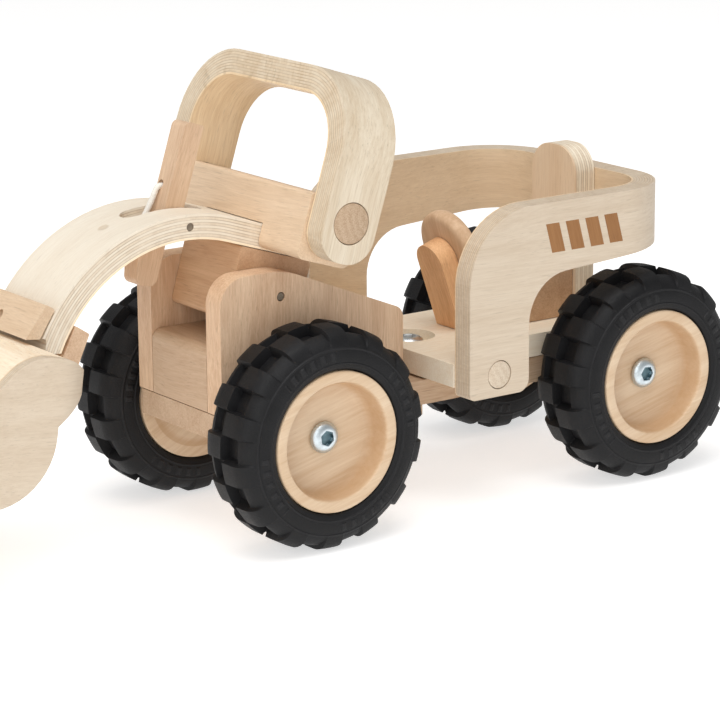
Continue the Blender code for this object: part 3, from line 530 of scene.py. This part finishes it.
FENDER_STRIP = Strip("plan", across=58.0, along=-171.5, radius=29.0, thickness=9.5, count=9)
BAR_STRIP = Strip("arch", across=55.5, along=178.6, radius=31.0, thickness=10.0, count=9)
BOOM_STRIP = Strip("curve", across=25.5, along=48.2, radius=68.6, thickness=9.5, count=9)
BUCKET_STRIP = Strip("plan", across=58.0, along=90.0, radius=15.5, thickness=4.8, count=5)
SEAT_STRIP = Strip("flat", across=0.0, along=-151.4, radius=0.0, thickness=10.3, count=9)
# The boom's dimple: dug in by bump, and darkened with painted shade in wood().
BOOM_DIMPLE = ((68.3, 1.2, 101.8), 2.6)
# Painted shade: darkens and warms the seat back's front face.
SEAT_FRONT_SHADE = (0.84, 0.70, 0.58)


def dress_all():
    """Every CAD node that keeps its own shape."""
    dress("fender", wood("fender wood", PALE, "xy", strip=FENDER_STRIP, seed=1, contrast=0.62), 1.6)
    dress("roll_bar", wood("roll bar wood", BAR_WOOD, "yz", "arm", BAR_STRIP, 2, 0.9), 2.4, 4)
    boom_wood = wood("boom wood", BLEACHED, "xz", "arm", BOOM_STRIP, 3, 0.5, dimple=BOOM_DIMPLE)
    dress("boom", boom_wood, 1.2)
    dress("bucket_frame", wood("bucket frame wood", PALE, "xy", "bucket", BUCKET_STRIP, 4, 0.6), 1.2)
    dress("bucket_sheet", wood("bucket sheet wood", BUCKET_INSIDE, "y", "bucket", None, 5, 0.9), 0.9)
    dress("bucket_lug", wood("lug wood", WARM, "x", "bucket", None, 6), 0.9)
    for side, seed in (("left", 7), ("right", 8)):
        dress(f"{side}_cheek", wood(f"{side} cheek wood", LIGHT, "z", seed=seed, contrast=0.9), 2.4, 4)
    dress("front_base_plate", wood("base plate wood", MUTED, "x", seed=9), 1.2)
    dress("front_axle_keeper", wood("front keeper wood", MUTED, "x", seed=10), 1.0)
    dress("centre_block", wood("centre block wood", MUTED, "y", seed=11, contrast=0.7), 1.6)
    dress("rear_deck", wood("deck wood", CREAM, "x", seed=12, contrast=0.7), 1.0)
    dress("rear_axle_block", wood("axle block wood", MUTED, "x", seed=13), 1.2)
    dress("rear_axle_keeper", wood("rear keeper wood", MUTED, "x", seed=14), 1.0)
    plain_front = wood("seat back wood", CREAM, "z", "toy", SEAT_STRIP, 15, 0.7, veneer=SEAT_FRONT_SHADE)
    dress("seat_back", plain_front, 1.8)
    dress("seat_base", wood("seat base wood", WARM, "y", seed=16), 1.5)
    dress("steering_console", wood("console wood", DEEP, "z", seed=17, lean=-CONSOLE_LEAN, contrast=0.8), 1.2)
    dress("carrier_block", wood("carrier wood", WARM, "y", "arm", None, 18, 0.8), 1.4)
    dress("cross_block", wood("cross block wood", CROSS, "y", "arm", None, 19, 0.8), 1.4)
    dress("boom_front_block", wood("front block wood", CROSS, "y", "arm", None, 20, 0.8), 0.7)
    dress("boom_rear_block", wood("rear block wood", LIGHT, "y", "arm", None, 21, 0.8), 0.7)
    dress("lever_stick", wood("lever wood", LIGHT, "z", "arm", None, 22, 0.75), 1.5)
    bright = steel("axle steel", srgb(205, 210, 214), 0.3)
    for node in ("front_axle_rod", "rear_axle_rod", "swivel_nut", "left_fender_screw", "right_fender_screw"):
        dress(node, bright, 0.25, 2)
    # Painted shade: the pins' steel is darkened and browned so that their ends look sunk in dark holes.
    pin_shade_steel = steel("pin steel", srgb(156, 144, 128), 0.6, 2.0)
    for node in ("arm_pivot_pin", "lever_pin", "bucket_pin"):
        dress(node, pin_shade_steel, 0.25, 2)
    for end in ("front", "rear"):
        for side in ("left", "right"):
            dress(f"{end}_{side}_spacer", bright, 0.3, 2)


# ---------------------------------------------------------------- wheels

TREAD_PITCHES = 14
LUG_HEIGHT = 1.6
POCKET_DEPTH = 2.4
# One side of the tyre's section outwards from the middle: radius, distance, how much of a lug, of a pocket
SECTION = [
    (40.9, 0.35, 1.0, 1.0), (40.9, 1.1, 1.0, 1.0), (40.88, 4.0, 1.0, 1.0), (40.8, 6.6, 1.0, 1.0),
    (40.7, 7.7, 1.0, 1.0), (40.55, 8.3, 0.97, 0.05), (40.2, 9.5, 0.93, 0.0), (39.5, 10.9, 0.85, 0.0),
    (38.7, 12.0, 0.66, 0.0), (37.7, 13.0, 0.36, 0.0), (36.5, 13.8, 0.1, 0.0), (35.0, 14.45, 0.0, 0.0),
    (33.2, 14.85, 0.0, 0.0), (31.2, 14.95, 0.0, 0.0), (29.6, 14.85, 0.0, 0.0), (28.4, 14.5, 0.0, 0.0),
    (27.7, 14.0, 0.0, 0.0), (27.35, 13.3, 0.0, 0.0), (27.3, 8.0, 0.0, 0.0),
]
PHASES = [0.0, 0.028, 0.05, 0.16, 0.34, 0.45, 0.472, 0.5, 0.528, 0.55, 0.66, 0.84, 0.95, 0.972]


def lug(phase):
    """1 on a lug, 0 in the gap after it, with a short ramp between."""
    ramp = 0.028
    if phase <= ramp:
        return phase / ramp
    if phase < 0.5 - ramp:
        return 1.0
    return max(0.0, (0.5 - phase) / ramp)


def tyre_mesh():
    """Rings of the tyre's section round the axle, with two staggered rows of lugs and pockets."""
    half = len(SECTION)
    rings = []
    for pitch in range(TREAD_PITCHES):
        for phase in PHASES:
            angle = 2 * math.pi * (pitch + phase) / TREAD_PITCHES
            ring = []
            for side in (1, -1):
                turn = phase if side == 1 else (phase + 0.5) % 1.0
                raised = lug(turn)
                sunk = lug((turn + 0.5) % 1.0)
                row = []
                for index, (radius, distance, lug_share, pocket_share) in enumerate(SECTION):
                    before = SECTION[max(index - 1, 0)]
                    after = SECTION[min(index + 1, half - 1)]
                    lie = Vector((after[1] - before[1], before[0] - after[0]))
                    normal = lie.normalized() if index else Vector((1.0, 0.0))
                    lift = raised * lug_share * LUG_HEIGHT - sunk * pocket_share * POCKET_DEPTH
                    wide = radius + normal.x * lift
                    far = min(distance + normal.y * lift, 15.0)
                    row.append((wide, side * far))
                ring.append(row)
            outline = ring[1][::-1] + ring[0]
            rings.append([
                Vector((wide * math.cos(angle), wide * math.sin(angle), far)) * 0.001 for wide, far in outline
            ])
    return loft(rings, closed=True)


HUB_PROFILE = [
    (3.9, -14.2), (26.3, -14.4), (26.9, -13.9), (27.0, -13.2), (27.0, 13.6), (26.85, 14.05), (26.5, 14.35),
    (26.0, 14.4), (23.5, 14.4), (22.95, 14.25), (22.6, 13.8), (22.4, 12.9), (21.95, 6.9), (21.6, 5.7),
    (20.9, 4.75), (19.9, 4.3), (18.8, 4.2), (3.9, 4.2),
]


def hexagon(apothem):
    """Radius of a hexagon at an angle."""
    return lambda angle: apothem / math.cos((angle + math.pi / 6) % (math.pi / 3) - math.pi / 6)


def bolt_profile(shank_radius, shank_length):
    """A button-head bolt with a hexagonal socket, its head standing on height 0."""
    return [
        (0.05, -shank_length), (shank_radius - 0.4, -shank_length), (shank_radius, 0.4 - shank_length),
        (shank_radius, -0.05), (5.8, 0.0), (6.0, 0.15), (6.0, 0.75), (5.9, 1.05), (5.6, 1.5), (5.2, 1.9),
        (4.6, 2.35), (3.9, 2.65), (3.3, 2.78),
        (hexagon(2.72), 2.72), (hexagon(2.62), 2.5), (hexagon(2.58), 0.95), (0.9, 0.75), (0.05, 0.7),
    ]


BOLT_SEAT = 51.8              # underside of a bolt's head, out from the toy's middle plane
# How far each tyre is turned, in degrees, so that the four treads don't line up
TYRE_TURNS = {
    ("front", "left"): 4.0, ("front", "right"): 17.0,
    ("rear", "left"): 11.0, ("rear", "right"): 23.0,
}


def make_wheels():
    """Tyres and hubs that turn with their wheels, and the bolts, which stay with the chassis."""
    zinc = steel("bolt zinc", srgb(222, 234, 240), 0.4, 3.0)
    # Painted shade: a darker steel for the inside of each bolt's hexagonal socket.
    recess_shade = (0.0027, steel("bolt recess", srgb(110, 134, 142), 0.4, 5.0))
    verts, faces = tyre_mesh()
    for index, ((end, side_name), turn) in enumerate(TYRE_TURNS.items()):
        side = 1 if side_name == "left" else -1
        x = 0.0 if end == "front" else -WHEELBASE
        body = f"{end}_{side_name}_wheel"
        name = f"{end}_{side_name}"
        axle = at_axis("toy", x, AXLE_Z, side)
        middle = axle @ Matrix.Translation((0, 0, WHEEL_MIDDLE * 0.001))
        spin = Matrix.Rotation(math.radians(turn), 3, "Z")
        spun = [spin @ point for point in verts]
        black = rubber(f"{name} rubber", 11.0 * index)
        tyre = piece(f"{name}_tread_tyre", spun, faces, black, None, smooth=28)
        tyre.matrix_world = middle
        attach(tyre, body)
        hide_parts(f"{name}_tyre")
        turned(f"{name}_turned_hub", HUB_PROFILE, 96, hub_wood(f"{name} hub wood", 2.0 + index), body, middle,
               [f"{name}_hub"])
        bolt_place = axle @ Matrix.Translation((0, 0, BOLT_SEAT * 0.001))
        bolt_place = bolt_place @ Matrix.Rotation(math.radians(8 + 9 * index), 4, "Z")
        turned(f"{name}_socket_bolt", bolt_profile(2.0, 14.0), 48, zinc, f"{end}_chassis", bolt_place,
               [f"{name}_bolt"], closed=False, smooth=28, recess_shade=recess_shade)


# ---------------------------------------------------------------- small turned pieces

def disc(radius, low, high):
    """A plug or dowel with a slightly eased outer edge."""
    return [
        (0.05, low), (radius, low), (radius, high - 0.35), (radius - 0.1, high - 0.12),
        (radius - 0.35, high - 0.02), (0.05, high),
    ]


POST_PLUG_AT = (-78.3, 55.2)
BAR_DOWEL_AT = (-1.0, 125.2)
DOWEL_TONES = (srgb(204, 180, 153), srgb(172, 142, 113))
CONSOLE_FOOT = Vector((-98.0, 0, 59.8))
STEERING_WHEEL_UP = Vector((-7.8, 0, 31.0))     # from the console's foot, along the console
SWIVEL_AT = Vector((-78.0, 0, 56.5))


def make_turned_pieces():
    """Plugs, dowels, the steering wheel with its peg, and the frame pivot's bolt and washer."""
    for index, (side_name, side) in enumerate((("left", 1), ("right", -1))):
        plug_wood = end_grain(f"{side_name} plug wood", PALE, index + 3.0)
        plug_place = at_axis("toy", *POST_PLUG_AT, side)
        turned(f"{side_name}_post_plug", disc(5.4, 53.6, 57.9), 64, plug_wood, "rear_chassis", plug_place,
               [f"{side_name}_fender_plug"], closed=False)
        dowel_wood = end_grain(f"{side_name} dowel wood", DOWEL_TONES, index + 1.0)
        dowel_place = at_axis("arm", *BAR_DOWEL_AT, side)
        turned(f"{side_name}_bar_peg", disc(7.7, 36.3, 55.4), 64, dowel_wood, "loader_arm", dowel_place,
               [f"{side_name}_bar_dowel"], closed=False)
    lean = Matrix.Rotation(math.radians(CONSOLE_LEAN), 4, "Y")
    turn = Matrix.Rotation(math.radians(CONSOLE_LEAN - 90), 4, "Y")
    place = Matrix.Translation(TO_WORLD @ (CONSOLE_FOOT + lean @ STEERING_WHEEL_UP)) @ turn
    wheel = [
        (2.4, 0.35), (12.4, 0.3), (13.9, 0.55), (14.9, 1.3), (15.4, 2.4), (15.5, 3.8), (15.4, 5.1),
        (14.9, 6.3), (14.0, 7.1), (12.6, 7.45), (5.2, 7.5), (4.85, 7.3), (4.8, 6.9), (4.8, 5.25), (2.4, 5.2),
    ]
    wheel_tones = (srgb(226, 194, 160), srgb(198, 160, 124))
    turned("steering_disc", wheel, 80, face_wood("steering wheel wood", wheel_tones), "steering", place,
           ["steering_wheel"])
    peg = [
        (0.05, -6.5), (2.0, -6.5), (2.0, 5.5), (4.3, 5.5), (4.4, 5.7), (4.4, 6.9), (4.1, 7.5), (3.5, 7.9),
        (2.6, 8.0), (0.05, 8.0),
    ]
    turned("steering_pin", peg, 48, end_grain("steering peg wood", WARM, 5.0), "rear_chassis", place,
           ["steering_peg"], closed=False)
    swivel = Matrix.Translation(TO_WORLD @ SWIVEL_AT)
    zinc = steel("swivel zinc", srgb(226, 232, 234), 0.3, 6.0)
    turned("swivel_socket_bolt", bolt_profile(3.1, 22.5), 48, zinc, "rear_chassis", swivel, ["swivel_bolt"],
           closed=False, smooth=28)
    washer = [(3.4, -1.2), (7.8, -1.2), (8.0, -1.05), (8.0, -0.5), (7.8, -0.32), (3.6, -0.3), (3.4, -0.45)]
    turned("swivel_flat_washer", washer, 64, zinc, "rear_chassis", swivel, ["swivel_washer"])


# ---------------------------------------------------------------- vents and cord

VENT_PLACES = [(-100.6, 111.1), (-110.3, 111.1), (-120.0, 111.1), (-129.6, 111.2)]
VENT_DEPTHS = (57.4, 58.03)   # from inside the fender's wall to just proud of it


def make_vents():
    """Four slanting dark inlays in each side of the fender."""
    width, height, slant = 6.5, 11.6, 3.2
    tones = (srgb(164, 117, 72), srgb(140, 95, 54))
    dark = wood("vent veneer", tones, "z", seed=31, contrast=0.8, lean=-15.0)
    for side_name, side in (("left", 1), ("right", -1)):
        verts, faces = [], []
        for x, z in VENT_PLACES:
            corners = [(x, z), (x - width, z), (x - width - slant, z - height), (x - slant, z - height)]
            rings = [[TO_WORLD @ Vector((a, side * depth, b)) for a, b in corners] for depth in VENT_DEPTHS]
            inlay_verts, inlay_faces = loft(rings)
            faces += [tuple(len(verts) + corner for corner in face) for face in inlay_faces]
            verts += inlay_verts
        piece(f"{side_name}_vent_inlays", verts, faces, dark, "rear_chassis")


def smooth_path(route, spacing):
    """Points at about the given spacing on a smooth curve through the route."""
    points = []
    for index in range(len(route) - 1):
        before = Vector(route[max(index - 1, 0)])
        start = Vector(route[index])
        end = Vector(route[index + 1])
        after = Vector(route[min(index + 2, len(route) - 1)])
        steps = max(2, round((end - start).length / spacing))
        for step in range(steps):
            t = step / steps
            leave = (end - before) / 2
            arrive = (after - start) / 2
            points.append(
                start * (2 * t**3 - 3 * t**2 + 1) + leave * (t**3 - 2 * t**2 + t)
                + end * (3 * t**2 - 2 * t**3) + arrive * (t**3 - t**2)
            )
    points.append(Vector(route[-1]))
    return points


def twisted(path, radius, lay, strands=3, around=24):
    """A rope of strands twisted together along a path in metres."""
    rings = []
    tangent = (path[1] - path[0]).normalized()
    across = tangent.orthogonal().normalized()
    travelled = 0.0
    for index, point in enumerate(path):
        following = path[min(index + 1, len(path) - 1)]
        previous = path[max(index - 1, 0)]
        turned_tangent = (following - previous).normalized()
        across = tangent.rotation_difference(turned_tangent) @ across
        tangent = turned_tangent
        travelled += (point - previous).length
        other = tangent.cross(across).normalized()
        ring = []
        for step in range(around):
            angle = 2 * math.pi * step / around
            lobe = abs(math.cos((angle - 2 * math.pi * travelled / lay) * strands / 2))
            wide = radius * (0.80 + 0.20 * lobe ** 0.5)
            ring.append(point + (across * math.cos(angle) + other * math.sin(angle)) * wide)
        rings.append(ring)
    return loft(rings)


CORD_RADIUS = 0.00115
CORD_LAY = 0.006              # the length in which a strand goes once round


def make_cord():
    """The cord from the lever down through the slot to the boom's front block."""
    upper = [
        (41, -2.2, 121.6), (45.3, -2.2, 121.55), (46.9, -2.2, 121.0), (47.6, -2.2, 119.9), (47.9, -2.2, 118),
        (48.8, -2.2, 113), (50.3, -2.2, 107.6), (52.2, -2.2, 103),
    ]
    lower = [
        (55.4, -2.2, 98.6), (59, -2.6, 94.4), (64, -3.4, 89.2), (70, -4.6, 81.6), (74.8, -5.4, 74.6),
        (78.8, -5.6, 69.7), (84.0, -5.6, 67.74), (90.0, -5.6, 65.43), (95.0, -5.6, 63.51),
    ]
    path = smooth_path([ARM_FRAME @ Vector(point) for point in upper + lower], 0.0007)
    verts, faces = twisted(path, CORD_RADIUS, CORD_LAY)
    item = piece("tipping_cord", verts, faces, cotton("cord cotton"), None, smooth=60)
    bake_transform(item)
    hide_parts("lever_cord", "boom_cord")


# ---------------------------------------------------------------- studio

CAMERA_PLACE = Vector((634.36, 961.50, 356.74))
CAMERA_AZIMUTH = 54.397
CAMERA_ELEVATION = 14.405
CAMERA_ROLL = -0.47
CAMERA_LENS = 155.13
FLOOR_SIZE = 6.0


def softbox(name, place, target, wide, high, power):
    """A rectangular lamp that faces its target."""
    light = bpy.data.lights.new(name, "AREA")
    light.shape = "RECTANGLE"
    light.size = wide
    light.size_y = high
    light.energy = power
    lamp = bpy.data.objects.new(name, light)
    bpy.context.collection.objects.link(lamp)
    lamp.location = place
    lamp.rotation_euler = (Vector(target) - Vector(place)).to_track_quat("-Z", "Y").to_euler()


def make_camera():
    """A long lens from the toy's front left, a little above it."""
    azimuth, elevation, roll = (math.radians(a) for a in (CAMERA_AZIMUTH, CAMERA_ELEVATION, CAMERA_ROLL))
    level = math.cos(elevation)
    back = Vector((math.cos(azimuth) * level, math.sin(azimuth) * level, math.sin(elevation)))
    right = (-back).cross(Vector((0, 0, 1))).normalized()
    up = right.cross(-back)
    across = right * math.cos(roll) + up * math.sin(roll)
    upright = up * math.cos(roll) - right * math.sin(roll)
    lens = bpy.data.cameras.new("camera")
    lens.lens = CAMERA_LENS
    lens.sensor_width = 36.0
    lens.clip_start = 0.05
    lens.clip_end = 30.0
    camera = bpy.data.objects.new("camera", lens)
    bpy.context.collection.objects.link(camera)
    turn = Matrix((across, upright, back)).transposed().to_4x4()
    camera.matrix_world = Matrix.Translation(TO_WORLD @ CAMERA_PLACE) @ turn
    bpy.context.scene.camera = camera


def make_floor():
    """A plain floor of pale paper, which glows a little so that its far side stays white."""
    corners = [(x * FLOOR_SIZE, y * FLOOR_SIZE, 0) for x, y in ((-1, -1), (1, -1), (1, 1), (-1, 1))]
    floor_mesh = bpy.data.meshes.new("floor")
    floor_mesh.from_pydata(corners, [], [(0, 1, 2, 3)])
    floor = bpy.data.objects.new("floor", floor_mesh)
    bpy.context.collection.objects.link(floor)
    floor.location.z = -0.0001
    paper = Shader("floor paper", 0.9)
    paper.out.inputs["Base Color"].default_value = (0.72, 0.71, 0.7, 1)
    paper.out.inputs["Emission Color"].default_value = (1.0, 1.0, 1.0, 1)
    paper.out.inputs["Emission Strength"].default_value = 0.6
    floor_mesh.materials.append(paper.material)


def make_light():
    """An even white room, a large lamp overhead and a second one beside the camera."""
    world = bpy.data.worlds.new("studio")
    world.use_nodes = True
    sky = world.node_tree.nodes["Background"]
    sky.inputs["Color"].default_value = (1.0, 1.0, 1.0, 1)
    sky.inputs["Strength"].default_value = 0.38
    bpy.context.scene.world = world

    softbox("key", (0.3, 0.35, 1.6), (0, 0, 0.08), 1.3, 1.1, 17.0)
    softbox("fill", (1.15, 1.05, 0.7), (0, 0, 0.07), 1.3, 1.1, 8.5)
    bpy.context.scene.view_settings.view_transform = "Standard"
    bpy.context.scene.view_settings.look = "None"


make_camera()
make_floor()
make_light()
make_cord()
dress_all()
make_wheels()
make_turned_pieces()
make_vents()
